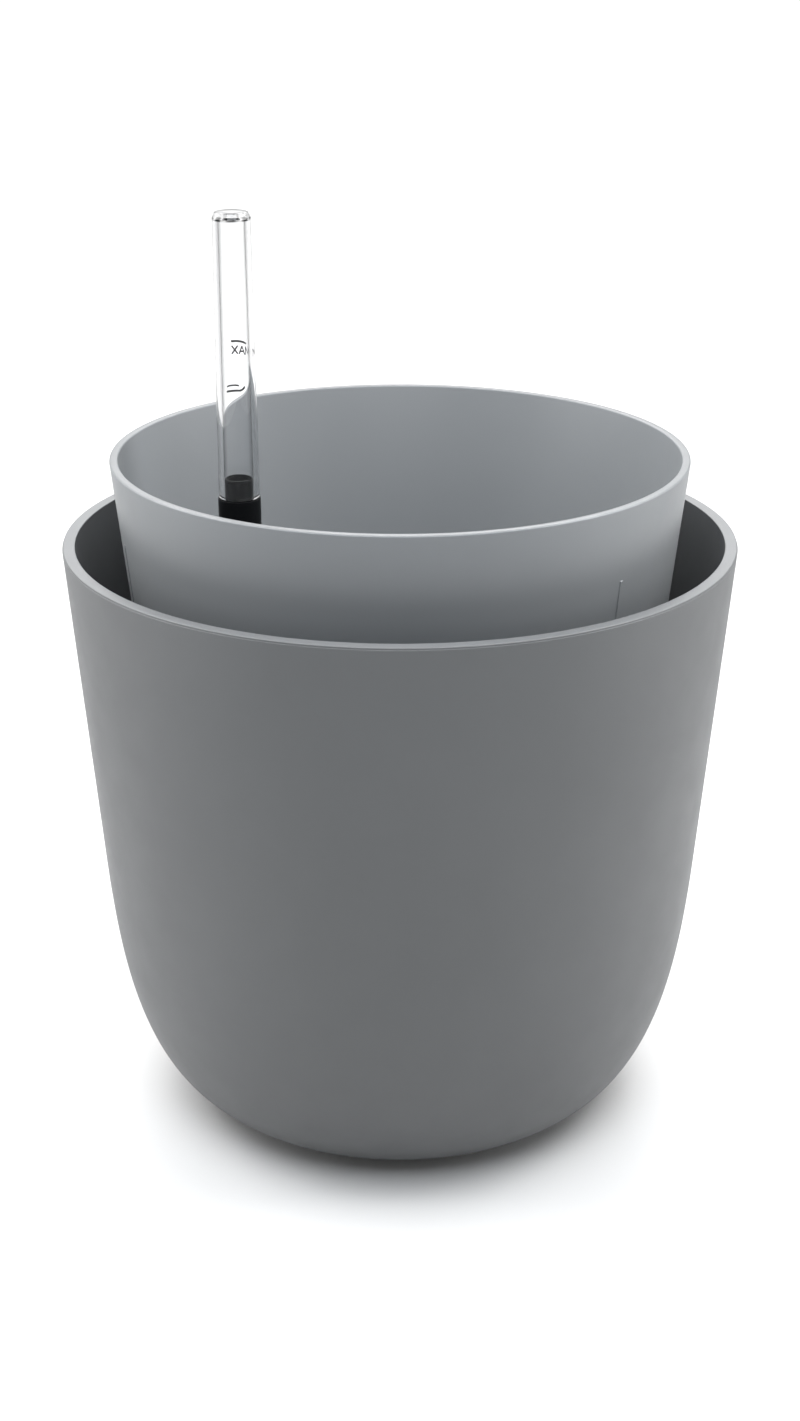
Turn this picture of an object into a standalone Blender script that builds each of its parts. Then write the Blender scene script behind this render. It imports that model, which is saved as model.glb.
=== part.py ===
"""Self-watering pot.

A tall bowl-shaped outer pot holds the water. A tapered inner pot for the soil lifts out of it
and stands in it on three slotted wick cups, which reach down into the water. A gauge is pushed
through the inner pot's floor: a hollow stem with a float in its foot, and a clear sight tube on
top, in which the float's rod rises as the pot is filled.

Metres, +Z up. The origin is the centre of the outer pot's base. The front is -Y.
"""

import math

import bmesh
import bpy
from mathutils import Matrix, Vector

MM = 0.001

# Clearances
SEAT_GAP = 0.3 * MM
FLOAT_CLEARANCE = 0.9 * MM
ROD_CLEARANCE = 0.9 * MM

# Outer pot
OUTER_RIM_RADIUS = 140.0 * MM
OUTER_HEIGHT = 253.6 * MM
OUTER_WALL = 5.2 * MM
OUTER_FLOOR = 4.5 * MM
OUTER_TAPER = math.radians(4.385)
BEND_HEIGHT = 128.0 * MM
FOOT_RADIUS = 74.0 * MM
FOOT_RISE = math.radians(3.74)
BEND_REACH = 48.4 * MM
FOOT_REACH = 48.8 * MM
FOOT_RING_WIDTH = 6.0 * MM
FOOT_RING_HEIGHT = 3.0 * MM
OUTER_RIM_ROUND = 1.0 * MM

# Inner pot
RIM_GAP = 15.75 * MM
INNER_STAND = 35.3 * MM
INNER_TAPER = math.radians(5.867)
INNER_WALL = 3.45 * MM
INNER_FLOOR = 3.0 * MM
INNER_CORNER_RADIUS = 22.0 * MM
INNER_RIM_ROUND = 0.7 * MM
RESERVOIR_DEPTH = 62.0 * MM

# Stacking ribs outside the inner pot
RIB_COUNT = 3
RIB_FIRST_AZIMUTH = math.radians(-43.0)
RIB_BELOW_RIM = 30.4 * MM
RIB_LENGTH = 70.0 * MM
RIB_WIDTH = 1.3 * MM
RIB_HEIGHT = 0.9 * MM

# Drain holes in the inner pot's floor
DRAIN_HOLE_RADIUS = 2.2 * MM
DRAIN_RING_RADIUS = 14.0 * MM
DRAIN_RING_COUNT = 6
DRAIN_SLOT_WIDTH = 3.2 * MM
DRAIN_SLOT_LENGTH = 26.0 * MM
DRAIN_SLOT_RADIUS = 50.0 * MM
DRAIN_SLOT_PITCH = 9.0 * MM
DRAIN_SLOTS_PER_GROUP = 3

# Wick cups, which are also the inner pot's feet
CUP_COUNT = 3
CUP_PITCH_RADIUS = 48.0 * MM
CUP_NECK_RADIUS = 16.0 * MM
CUP_SNAP = 0.6 * MM
CUP_LIP_HEIGHT = 1.8 * MM
CUP_COLLAR_WIDTH = 3.0 * MM
CUP_COLLAR_HEIGHT = 2.4 * MM
CUP_TAPER = math.radians(2.6)
CUP_WALL = 1.6 * MM
CUP_FLOOR = 2.0 * MM
CUP_SLOT_COUNT = 8
CUP_SLOT_WIDTH = 2.4 * MM
CUP_SLOT_MARGIN = 8.0 * MM
CUP_HOLE_RADIUS = 1.8 * MM
CUP_HOLE_RING_RADIUS = 8.0 * MM
CUP_HOLE_COUNT = 6

# Gauge stem
GAUGE_OFFSET = 66.8 * MM
STEM_RADIUS = 8.87 * MM
STEM_WALL = 1.4 * MM
STEM_BELOW_RIM = 19.9 * MM
STEM_SHOULDER = 2.6 * MM
STEM_FLOOR_CLEARANCE = 3.2 * MM
STEM_COLLAR_RADIUS = 13.0 * MM
STEM_COLLAR_HEIGHT = 2.6 * MM
BOSS_WALL = 2.4 * MM
BOSS_HEIGHT = 8.0 * MM
SPIGOT_RADIUS = 5.9 * MM
SPIGOT_WALL = 1.0 * MM
SPIGOT_HEIGHT = 8.4 * MM
STOP_RING_HEIGHT = 2.0 * MM
INLET_COUNT = 4
INLET_WIDTH = 2.4 * MM
INLET_MARGIN = 9.0 * MM

# Sight tube
TUBE_LENGTH = 116.5 * MM
TUBE_FOOT_RADIUS = 8.52 * MM
TUBE_TOP_RADIUS = 7.84 * MM
TUBE_WALL = 2.45 * MM
TUBE_CROWN = 4.6 * MM
TUBE_EDGE_WIDTH = 1.0 * MM
TUBE_EDGE_HEIGHT = 2.1 * MM
TUBE_BORE_ROUND = 0.8 * MM

# End cap, float and rod
CAP_FLANGE_HEIGHT = 2.2 * MM
CAP_PLUG_HEIGHT = 4.0 * MM
CAP_PLUG_WALL = 1.4 * MM
CAP_HOLE_RADIUS = 1.1 * MM
CAP_HOLE_RING_RADIUS = 3.4 * MM
CAP_HOLE_COUNT = 5
FLOAT_LENGTH = 36.0 * MM
FLOAT_EDGE = 1.6 * MM
FLOAT_SOCKET_DEPTH = 14.0 * MM
FLOAT_TRAVEL = 60.5 * MM
ROD_RADIUS = 2.0 * MM
ROD_TIP_LENGTH = 18.0 * MM
ROD_TIP_DROP = 4.0 * MM

# Facets round each turned piece
POT_FACETS = 64
CUP_FACETS = 24
GAUGE_FACETS = 28
BOWL_STEPS = 12
CORNER_STEPS = 5
EDGE_STEPS = 3

# Places that follow from the sizes above
OUTER_FLOOR_TOP = FOOT_RING_HEIGHT + OUTER_FLOOR
INNER_RIM_RADIUS = OUTER_RIM_RADIUS - OUTER_WALL - RIM_GAP
INNER_RIM_TOP = OUTER_HEIGHT + INNER_STAND
INNER_FLOOR_UNDERSIDE = OUTER_FLOOR_TOP + RESERVOIR_DEPTH
INNER_FLOOR_TOP = INNER_FLOOR_UNDERSIDE + INNER_FLOOR
GAUGE_X = -GAUGE_OFFSET
STEM_BORE = STEM_RADIUS - STEM_WALL
SPIGOT_BORE = SPIGOT_RADIUS - SPIGOT_WALL
STEM_TOP = INNER_RIM_TOP - STEM_BELOW_RIM
STEM_FOOT = OUTER_FLOOR_TOP + STEM_FLOOR_CLEARANCE + CAP_FLANGE_HEIGHT + SEAT_GAP
SPIGOT_TOP = STEM_TOP + SPIGOT_HEIGHT
BOSS_TOP = INNER_FLOOR_TOP + BOSS_HEIGHT
CAP_PLUG_TOP = STEM_FOOT + CAP_PLUG_HEIGHT
FLOAT_BOTTOM = CAP_PLUG_TOP + SEAT_GAP
FLOAT_TOP = FLOAT_BOTTOM + FLOAT_LENGTH
STOP_RING_BOTTOM = FLOAT_TOP + FLOAT_TRAVEL + SEAT_GAP
ROD_TIP_RADIUS = SPIGOT_BORE - ROD_CLEARANCE
ROD_TOP = SPIGOT_TOP - ROD_TIP_DROP


def clear_scene():
    """Empty the file, so that the script gives the same result each time it runs."""
    for obj in list(bpy.data.objects):
        bpy.data.objects.remove(obj, do_unlink=True)


def make_material(name, colour, roughness, metallic=0.0, transmission=0.0):
    """Plain Principled material for one sub-part."""
    material = bpy.data.materials.new(name)
    material.use_nodes = True
    shader = material.node_tree.nodes["Principled BSDF"]
    shader.inputs["Base Color"].default_value = (*colour, 1.0)
    shader.inputs["Roughness"].default_value = roughness
    shader.inputs["Metallic"].default_value = metallic
    shader.inputs["Transmission Weight"].default_value = transmission
    material.diffuse_color = (*colour, 1.0)
    return material


def arc(centre, radius, start, end, steps):
    """Points of a circular arc in the (radius, height) plane, both ends included."""
    points = []
    for step in range(steps + 1):
        angle = start + (end - start) * step / steps
        points.append((centre[0] + radius * math.cos(angle), centre[1] + radius * math.sin(angle)))
    return points


def turned_mesh(name, profile, facets):
    """Closed solid of revolution about Z, from a closed outline of (radius, height) points."""
    mesh = bpy.data.meshes.new(name)
    bm = bmesh.new()
    verts = [bm.verts.new((radius, 0.0, height)) for radius, height in profile]
    edges = []
    for index, vert in enumerate(verts):
        following = verts[(index + 1) % len(verts)]
        on_axis = vert.co.x == 0.0 and following.co.x == 0.0
        if not on_axis:
            edges.append(bm.edges.new((vert, following)))
    bmesh.ops.spin(
        bm,
        geom=verts + edges,
        cent=(0.0, 0.0, 0.0),
        axis=(0.0, 0.0, 1.0),
        angle=2.0 * math.pi,
        steps=facets,
        use_merge=True,
    )
    bmesh.ops.remove_doubles(bm, verts=bm.verts, dist=0.001 * MM)
    bmesh.ops.recalc_face_normals(bm, faces=bm.faces)
    bm.to_mesh(mesh)
    bm.free()
    return mesh


def add_object(name, mesh, material, location=(0.0, 0.0, 0.0), parent=None):
    """Put a mesh in the scene, shaded smooth, with sharp edges kept at its corners."""
    obj = bpy.data.objects.new(name, mesh)
    bpy.context.scene.collection.objects.link(obj)
    mesh.materials.append(material)
    mesh.shade_smooth()
    mesh.set_sharp_from_angle(angle=math.radians(35.0))
    obj.location = location
    obj.parent = parent
    return obj


def add_empty(name, location, parent=None):
    """Guide on a joint's axis, which the pieces that move together hang from."""
    empty = bpy.data.objects.new(name, None)
    bpy.context.scene.collection.objects.link(empty)
    empty.location = location
    empty.parent = parent
    return empty


def add_cutter(name, mesh, parent):
    """Hidden solid that a Boolean cuts or joins with."""
    cutter = bpy.data.objects.new(name, mesh)
    bpy.context.scene.collection.objects.link(cutter)
    cutter.parent = parent
    cutter.display_type = "WIRE"
    cutter.hide_render = True
    return cutter


def add_boolean(obj, cutter, operation):
    """Cut the cutter out of an object, or join it on."""
    modifier = obj.modifiers.new(cutter.name, "BOOLEAN")
    modifier.operation = operation
    modifier.solver = "EXACT"
    modifier.object = cutter


def add_box(bm, centre, size, turn=0.0, lean=0.0):
    """Add a box to a bmesh, leaned about its own Y and then turned about the Z axis."""
    matrix = (
        Matrix.Rotation(turn, 4, "Z")
        @ Matrix.Translation(Vector(centre))
        @ Matrix.Rotation(lean, 4, "Y")
        @ Matrix.Diagonal((*size, 1.0))
    )
    bmesh.ops.create_cube(bm, size=1.0, matrix=matrix)


def add_drill(bm, centre, radius, bottom, top, facets=12):
    """Add an upright cylinder to a bmesh, to drill a hole."""
    bmesh.ops.create_cone(
        bm,
        cap_ends=True,
        segments=facets,
        radius1=radius,
        radius2=radius,
        depth=top - bottom,
        matrix=Matrix.Translation((centre[0], centre[1], (bottom + top) / 2.0)),
    )


def mesh_from(bm, name):
    """Finish a bmesh as a mesh of its own."""
    mesh = bpy.data.meshes.new(name)
    bm.to_mesh(mesh)
    bm.free()
    return mesh


def around(count, first=0.0):
    """Equally spaced azimuths, counted from the first."""
    return [first + 2.0 * math.pi * index / count for index in range(count)]


def on_circle(radius, azimuth):
    """X and Y of a point on a circle about the axis."""
    return (radius * math.cos(azimuth), radius * math.sin(azimuth))


def cup_azimuths():
    """Azimuths of the wick cups, with the gauge halfway between two of them."""
    return around(CUP_COUNT, math.pi + math.pi / CUP_COUNT)


def bowl_curve():
    """Outer pot's bowl, from the foot up to the bend, each point with its inward normal."""
    bend_radius = OUTER_RIM_RADIUS - (OUTER_HEIGHT - BEND_HEIGHT) * math.tan(OUTER_TAPER)
    foot = Vector((FOOT_RADIUS, 0.0))
    bend = Vector((bend_radius, BEND_HEIGHT))
    foot_handle = foot + FOOT_REACH * Vector((math.cos(FOOT_RISE), math.sin(FOOT_RISE)))
    bend_handle = bend - BEND_REACH * Vector((math.sin(OUTER_TAPER), math.cos(OUTER_TAPER)))
    points = []
    for step in range(BOWL_STEPS + 1):
        t = step / BOWL_STEPS
        u = 1.0 - t
        point = u**3 * foot + 3 * u * u * t * foot_handle + 3 * u * t * t * bend_handle + t**3 * bend
        slope = (
            u * u * (foot_handle - foot)
            + 2.0 * u * t * (bend_handle - foot_handle)
            + t * t * (bend - bend_handle)
        ).normalized()
        points.append((point, Vector((-slope.y, slope.x)), t))
    return points


def outer_pot_profile():
    """Outer pot's wall, from the centre of its underside round the rim to its inside floor."""
    curve = bowl_curve()
    rise = OUTER_HEIGHT
    lean = OUTER_WALL / math.cos(OUTER_TAPER)
    outside = [(0.0, FOOT_RING_HEIGHT)]
    outside.append((FOOT_RADIUS - FOOT_RING_WIDTH - FOOT_RING_HEIGHT / 2.0, FOOT_RING_HEIGHT))
    outside.append((FOOT_RADIUS - FOOT_RING_WIDTH, 0.0))
    outside += [(point.x, point.y) for point, _, _ in curve]
    edge = OUTER_RIM_ROUND
    outside += arc((OUTER_RIM_RADIUS - edge, rise - edge), edge, 0.0, math.pi / 2.0, EDGE_STEPS)
    inner_edge = OUTER_RIM_RADIUS - lean + edge
    inside = arc((inner_edge, rise - edge), edge, math.pi / 2.0, math.pi, EDGE_STEPS)
    for point, normal, t in reversed(curve):
        thickness = OUTER_FLOOR_TOP + (OUTER_WALL - OUTER_FLOOR_TOP) * t
        offset = point + thickness * normal
        inside.append((offset.x, max(offset.y, OUTER_FLOOR_TOP)))
    inside.append((0.0, OUTER_FLOOR_TOP))
    return outside + inside


def build_outer_pot(material):
    """Outer pot: straight tapered wall, rounded bowl and a foot ring under its base."""
    mesh = turned_mesh("outer_pot", outer_pot_profile(), POT_FACETS)
    return add_object("outer_pot", mesh, material)


def inner_radius(height):
    """Outside radius of the inner pot's straight wall at a height."""
    return INNER_RIM_RADIUS - (INNER_RIM_TOP - height) * math.tan(INNER_TAPER)


def inner_pot_profile():
    """Inner pot's wall and floor, from the centre of its underside round the rim."""
    lean = INNER_WALL / math.cos(INNER_TAPER)
    edge = INNER_RIM_ROUND
    corner = INNER_CORNER_RADIUS
    tangent_drop = corner * math.tan((math.pi / 2.0 - INNER_TAPER) / 2.0)
    foot = inner_radius(INNER_FLOOR_UNDERSIDE)
    outside_centre = (foot - tangent_drop, INNER_FLOOR_UNDERSIDE + corner)
    inside_centre = outside_centre
    side = -INNER_TAPER
    down = -math.pi / 2.0
    profile = [(0.0, INNER_FLOOR_UNDERSIDE)]
    profile += arc(outside_centre, corner, down, side, CORNER_STEPS)
    profile += arc((INNER_RIM_RADIUS - edge, INNER_RIM_TOP - edge), edge, 0.0, math.pi / 2.0, EDGE_STEPS)
    inner_edge = INNER_RIM_RADIUS - lean + edge
    profile += arc((inner_edge, INNER_RIM_TOP - edge), edge, math.pi / 2.0, math.pi, EDGE_STEPS)
    inside = arc(inside_centre, corner - INNER_WALL, side, down, CORNER_STEPS)
    profile += [(radius, max(height, INNER_FLOOR_TOP)) for radius, height in inside]
    profile.append((0.0, INNER_FLOOR_TOP))
    return profile


def boss_and_rib_mesh():
    """Solids joined to the inner pot: the gauge's boss on its floor, and its stacking ribs."""
    bm = bmesh.new()
    boss_radius = STEM_RADIUS + SEAT_GAP + BOSS_WALL
    middle = INNER_FLOOR_UNDERSIDE + INNER_FLOOR / 2.0
    add_drill(bm, (GAUGE_X, 0.0), boss_radius, middle, BOSS_TOP, GAUGE_FACETS)
    for azimuth in around(RIB_COUNT, RIB_FIRST_AZIMUTH):
        height = INNER_RIM_TOP - RIB_BELOW_RIM - RIB_LENGTH / 2.0
        depth = 2.0 * RIB_HEIGHT
        centre = (inner_radius(height), 0.0, height)
        add_box(bm, centre, (depth, RIB_WIDTH, RIB_LENGTH), azimuth, INNER_TAPER)
    return mesh_from(bm, "boss_and_ribs")


def drain_mesh():
    """Holes through the inner pot's floor: the gauge's, the cups' and the drains."""
    bottom = INNER_FLOOR_UNDERSIDE - INNER_FLOOR
    top = INNER_FLOOR_TOP + INNER_FLOOR
    middle = (bottom + top) / 2.0
    bm = bmesh.new()
    hole_top = BOSS_TOP + INNER_FLOOR
    add_drill(bm, (GAUGE_X, 0.0), STEM_RADIUS + SEAT_GAP, bottom, hole_top, GAUGE_FACETS)
    for azimuth in cup_azimuths():
        centre = on_circle(CUP_PITCH_RADIUS, azimuth)
        add_drill(bm, centre, CUP_NECK_RADIUS + SEAT_GAP, bottom, top, CUP_FACETS)
    add_drill(bm, (0.0, 0.0), DRAIN_HOLE_RADIUS, bottom, top)
    for azimuth in around(DRAIN_RING_COUNT, math.pi / 6.0):
        add_drill(bm, on_circle(DRAIN_RING_RADIUS, azimuth), DRAIN_HOLE_RADIUS, bottom, top)
    for azimuth in around(CUP_COUNT, math.pi)[1:]:
        for index in range(DRAIN_SLOTS_PER_GROUP):
            side = (index - (DRAIN_SLOTS_PER_GROUP - 1) / 2.0) * DRAIN_SLOT_PITCH
            centre = (DRAIN_SLOT_RADIUS, side, middle)
            add_box(bm, centre, (DRAIN_SLOT_LENGTH, DRAIN_SLOT_WIDTH, top - bottom), azimuth)
    return mesh_from(bm, "floor_holes")


def build_inner_pot(material, guide):
    """Inner pot, turned, with its boss and ribs joined on and its floor drilled."""
    mesh = turned_mesh("inner_pot", inner_pot_profile(), POT_FACETS)
    pot = add_object("inner_pot", mesh, material, parent=guide)
    add_boolean(pot, add_cutter("boss_and_ribs", boss_and_rib_mesh(), guide), "UNION")
    add_boolean(pot, add_cutter("floor_holes", drain_mesh(), guide), "DIFFERENCE")
    return pot


def cup_profile():
    """Wick cup: snap lip above the pot's floor, neck through it, collar under it, tapered body."""
    foot = OUTER_FLOOR_TOP + SEAT_GAP
    collar_top = INNER_FLOOR_UNDERSIDE - SEAT_GAP
    collar_bottom = collar_top - CUP_COLLAR_HEIGHT
    collar = CUP_NECK_RADIUS + CUP_COLLAR_WIDTH
    lip_bottom = INNER_FLOOR_TOP + SEAT_GAP
    lip_top = lip_bottom + CUP_LIP_HEIGHT
    foot_radius = CUP_NECK_RADIUS - (collar_bottom - foot) * math.tan(CUP_TAPER)
    inside = CUP_NECK_RADIUS - CUP_WALL
    foot_inside = foot_radius - CUP_WALL
    return [
        (0.0, foot),
        (foot_radius - CUP_FLOOR / 2.0, foot),
        (foot_radius, foot + CUP_FLOOR / 2.0),
        (CUP_NECK_RADIUS, collar_bottom),
        (collar, collar_bottom),
        (collar, collar_top),
        (CUP_NECK_RADIUS, collar_top),
        (CUP_NECK_RADIUS, lip_bottom),
        (CUP_NECK_RADIUS + CUP_SNAP + SEAT_GAP, lip_bottom + CUP_SNAP / 2.0),
        (CUP_NECK_RADIUS - CUP_SNAP / 2.0, lip_top),
        (inside, lip_top),
        (inside, collar_bottom),
        (foot_inside, foot + CUP_FLOOR),
        (0.0, foot + CUP_FLOOR),
    ]


def cup_slot_mesh():
    """Upright slots through a cup's side, and holes through its floor."""
    foot = OUTER_FLOOR_TOP + SEAT_GAP
    collar_bottom = INNER_FLOOR_UNDERSIDE - SEAT_GAP - CUP_COLLAR_HEIGHT
    bottom = foot + CUP_FLOOR + CUP_SLOT_MARGIN
    top = collar_bottom - CUP_SLOT_MARGIN
    reach = CUP_NECK_RADIUS + CUP_WALL
    floor_middle = foot + CUP_FLOOR / 2.0
    bm = bmesh.new()
    for azimuth in around(CUP_SLOT_COUNT):
        centre = (reach / 2.0 + CUP_WALL, 0.0, (bottom + top) / 2.0)
        add_box(bm, centre, (reach, CUP_SLOT_WIDTH, top - bottom), azimuth)
    for azimuth in around(CUP_HOLE_COUNT, math.pi / CUP_HOLE_COUNT):
        centre = on_circle(CUP_HOLE_RING_RADIUS, azimuth)
        add_drill(bm, centre, CUP_HOLE_RADIUS, floor_middle - CUP_FLOOR, floor_middle + CUP_FLOOR, 8)
    return mesh_from(bm, "cup_slots")


def build_wick_cup(number, azimuth, material, guide):
    """One wick cup, in its hole in the inner pot's floor."""
    centre = on_circle(CUP_PITCH_RADIUS, azimuth)
    place = add_empty(f"wick_cup_{number}_place", (*centre, 0.0), guide)
    mesh = turned_mesh(f"wick_cup_{number}", cup_profile(), CUP_FACETS)
    cup = add_object(f"wick_cup_{number}", mesh, material, parent=place)
    add_boolean(cup, add_cutter(f"wick_cup_{number}_slots", cup_slot_mesh(), place), "DIFFERENCE")
    return cup


def stem_profile():
    """Gauge stem: float chamber, stop ring, collar on the boss, shoulder and spigot."""
    collar_bottom = BOSS_TOP + SEAT_GAP
    collar_top = collar_bottom + STEM_COLLAR_HEIGHT
    stop_top = STOP_RING_BOTTOM + STOP_RING_HEIGHT
    shoulder_bottom = STEM_TOP - STEM_SHOULDER
    edge = SPIGOT_WALL / 3.0
    return [
        (STEM_BORE, STEM_FOOT),
        (STEM_RADIUS, STEM_FOOT),
        (STEM_RADIUS, collar_bottom),
        (STEM_COLLAR_RADIUS, collar_bottom),
        (STEM_COLLAR_RADIUS, collar_top - STEM_COLLAR_HEIGHT / 3.0),
        (STEM_COLLAR_RADIUS - STEM_COLLAR_HEIGHT / 3.0, collar_top),
        (STEM_RADIUS, collar_top),
        (STEM_RADIUS, STEM_TOP - edge),
        (STEM_RADIUS - edge, STEM_TOP),
        (SPIGOT_RADIUS, STEM_TOP),
        (SPIGOT_RADIUS, SPIGOT_TOP - edge),
        (SPIGOT_RADIUS - edge, SPIGOT_TOP),
        (SPIGOT_BORE, SPIGOT_TOP),
        (SPIGOT_BORE, shoulder_bottom),
        (STEM_BORE, shoulder_bottom),
        (STEM_BORE, stop_top),
        (SPIGOT_BORE, stop_top),
        (SPIGOT_BORE, STOP_RING_BOTTOM),
        (STEM_BORE, STOP_RING_BOTTOM),
    ]


def inlet_mesh():
    """Water inlets through the stem's wall, between its foot and the inner pot's floor."""
    bottom = STEM_FOOT + INLET_MARGIN
    top = INNER_FLOOR_UNDERSIDE - INLET_MARGIN
    bm = bmesh.new()
    for azimuth in around(INLET_COUNT, math.pi / INLET_COUNT):
        centre = (STEM_RADIUS, 0.0, (bottom + top) / 2.0)
        add_box(bm, centre, (STEM_RADIUS, INLET_WIDTH, top - bottom), azimuth)
    return mesh_from(bm, "inlets")


def build_stem(material, guide):
    """Hollow stem of the gauge, which stands in the boss on its collar."""
    mesh = turned_mesh("gauge_stem", stem_profile(), GAUGE_FACETS)
    stem = add_object("gauge_stem", mesh, material, parent=guide)
    add_boolean(stem, add_cutter("stem_inlets", inlet_mesh(), guide), "DIFFERENCE")
    return stem


def tube_profile():
    """Sight tube: drafted wall, closed crown, and a counterbore that takes the spigot."""
    foot = STEM_TOP + SEAT_GAP
    top = foot + TUBE_LENGTH
    counterbore = SPIGOT_RADIUS + SEAT_GAP
    counterbore_top = SPIGOT_TOP + SEAT_GAP
    draft = (TUBE_FOOT_RADIUS - TUBE_TOP_RADIUS) / TUBE_LENGTH
    bore_foot = TUBE_FOOT_RADIUS - TUBE_WALL
    bore_top = TUBE_TOP_RADIUS - TUBE_WALL
    crown = top - TUBE_CROWN
    profile = [(counterbore, foot), (TUBE_FOOT_RADIUS, foot)]
    for step in range(EDGE_STEPS + 1):
        angle = math.pi / 2.0 * step / EDGE_STEPS
        radius = TUBE_TOP_RADIUS - TUBE_EDGE_WIDTH * (1.0 - math.cos(angle))
        profile.append((radius, top - TUBE_EDGE_HEIGHT * (1.0 - math.sin(angle))))
    profile += [
        (0.0, top),
        (0.0, crown),
        (bore_top - TUBE_BORE_ROUND, crown),
        (bore_top, crown - TUBE_BORE_ROUND),
        (bore_foot - draft * SPIGOT_HEIGHT, counterbore_top),
        (counterbore, counterbore_top),
    ]
    return profile


def build_sight_tube(material, guide):
    """Clear tube that closes the top of the gauge."""
    mesh = turned_mesh("sight_tube", tube_profile(), GAUGE_FACETS)
    return add_object("sight_tube", mesh, material, parent=guide)


def end_cap_profile():
    """End cap: flange under the stem, and a hollow plug in its bore."""
    flange_bottom = STEM_FOOT - SEAT_GAP - CAP_FLANGE_HEIGHT
    flange_top = STEM_FOOT - SEAT_GAP
    plug = STEM_BORE - SEAT_GAP
    return [
        (0.0, flange_bottom),
        (STEM_RADIUS - CAP_FLANGE_HEIGHT / 3.0, flange_bottom),
        (STEM_RADIUS, flange_bottom + CAP_FLANGE_HEIGHT / 3.0),
        (STEM_RADIUS, flange_top),
        (plug, flange_top),
        (plug, CAP_PLUG_TOP),
        (plug - CAP_PLUG_WALL, CAP_PLUG_TOP),
        (plug - CAP_PLUG_WALL, flange_top),
        (0.0, flange_top),
    ]


def build_end_cap(material, guide):
    """Pierced cap that keeps the float in the stem and the roots out."""
    mesh = turned_mesh("stem_end_cap", end_cap_profile(), GAUGE_FACETS)
    cap = add_object("stem_end_cap", mesh, material, parent=guide)
    flange_top = STEM_FOOT - SEAT_GAP
    bottom = flange_top - 2.0 * CAP_FLANGE_HEIGHT
    top = flange_top + CAP_FLANGE_HEIGHT
    bm = bmesh.new()
    for azimuth in around(CAP_HOLE_COUNT):
        add_drill(bm, on_circle(CAP_HOLE_RING_RADIUS, azimuth), CAP_HOLE_RADIUS, bottom, top, 8)
    add_boolean(cap, add_cutter("cap_holes", mesh_from(bm, "cap_holes"), guide), "DIFFERENCE")
    return cap


def float_profile():
    """Float: a plain cylinder with worn-off edges and a blind socket for the rod."""
    radius = STEM_BORE - FLOAT_CLEARANCE
    socket = ROD_RADIUS + SEAT_GAP
    socket_bottom = FLOAT_TOP - FLOAT_SOCKET_DEPTH
    return [
        (0.0, FLOAT_BOTTOM),
        (radius - FLOAT_EDGE, FLOAT_BOTTOM),
        (radius, FLOAT_BOTTOM + FLOAT_EDGE),
        (radius, FLOAT_TOP - FLOAT_EDGE),
        (radius - FLOAT_EDGE, FLOAT_TOP),
        (socket, FLOAT_TOP),
        (socket, socket_bottom),
        (0.0, socket_bottom),
    ]


def rod_profile():
    """Rod: a thin shaft in the float's socket, and the thicker tip that shows in the tube."""
    bottom = FLOAT_TOP - FLOAT_SOCKET_DEPTH + SEAT_GAP
    tip_bottom = ROD_TOP - ROD_TIP_LENGTH
    step = ROD_TIP_RADIUS - ROD_RADIUS
    dome_centre = (0.0, ROD_TOP - ROD_TIP_RADIUS)
    dome = arc(dome_centre, ROD_TIP_RADIUS, 0.0, math.pi / 2.0, EDGE_STEPS + 1)
    profile = [
        (0.0, bottom),
        (ROD_RADIUS, bottom),
        (ROD_RADIUS, tip_bottom - step),
        (ROD_TIP_RADIUS, tip_bottom),
    ]
    profile += dome[:-1]
    profile.append((0.0, ROD_TOP))
    return profile


def build_float(float_material, rod_material, guide):
    """Float in the foot of the stem, and the rod that it lifts."""
    float_mesh = turned_mesh("gauge_float", float_profile(), GAUGE_FACETS)
    add_object("gauge_float", float_mesh, float_material, parent=guide)
    rod_mesh = turned_mesh("indicator_rod", rod_profile(), CUP_FACETS)
    add_object("indicator_rod", rod_mesh, rod_material, parent=guide)


def main():
    """Build every piece of the pot in its place."""
    clear_scene()
    wall_grey = make_material("outer_grey", (0.155, 0.163, 0.175), 0.55)
    insert_grey = make_material("insert_grey", (0.225, 0.245, 0.27), 0.45)
    black = make_material("black_plastic", (0.008, 0.009, 0.01), 0.35)
    clear = make_material("clear_plastic", (0.93, 0.95, 0.96), 0.04, transmission=1.0)
    foam = make_material("float_white", (0.75, 0.75, 0.73), 0.8)
    red = make_material("rod_red", (0.55, 0.03, 0.02), 0.4)

    build_outer_pot(wall_grey)
    insert = add_empty("insert_lift", (0.0, 0.0, 0.0))
    build_inner_pot(insert_grey, insert)
    for index, azimuth in enumerate(cup_azimuths()):
        build_wick_cup(index + 1, azimuth, black, insert)
    gauge = add_empty("gauge_lift", (GAUGE_X, 0.0, 0.0), insert)
    build_stem(black, gauge)
    build_sight_tube(clear, gauge)
    build_end_cap(black, gauge)
    rise = add_empty("float_rise", (0.0, 0.0, 0.0), gauge)
    build_float(foam, red, rise)


main()
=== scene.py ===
"""Looks of a self-watering pot: smooth moulded shells, a clear gauge tube and a white studio."""

import logging
import math
from collections.abc import Callable, Sequence
from dataclasses import dataclass
from enum import Enum

import bmesh
import bpy
from mathutils import Matrix, Vector


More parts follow.
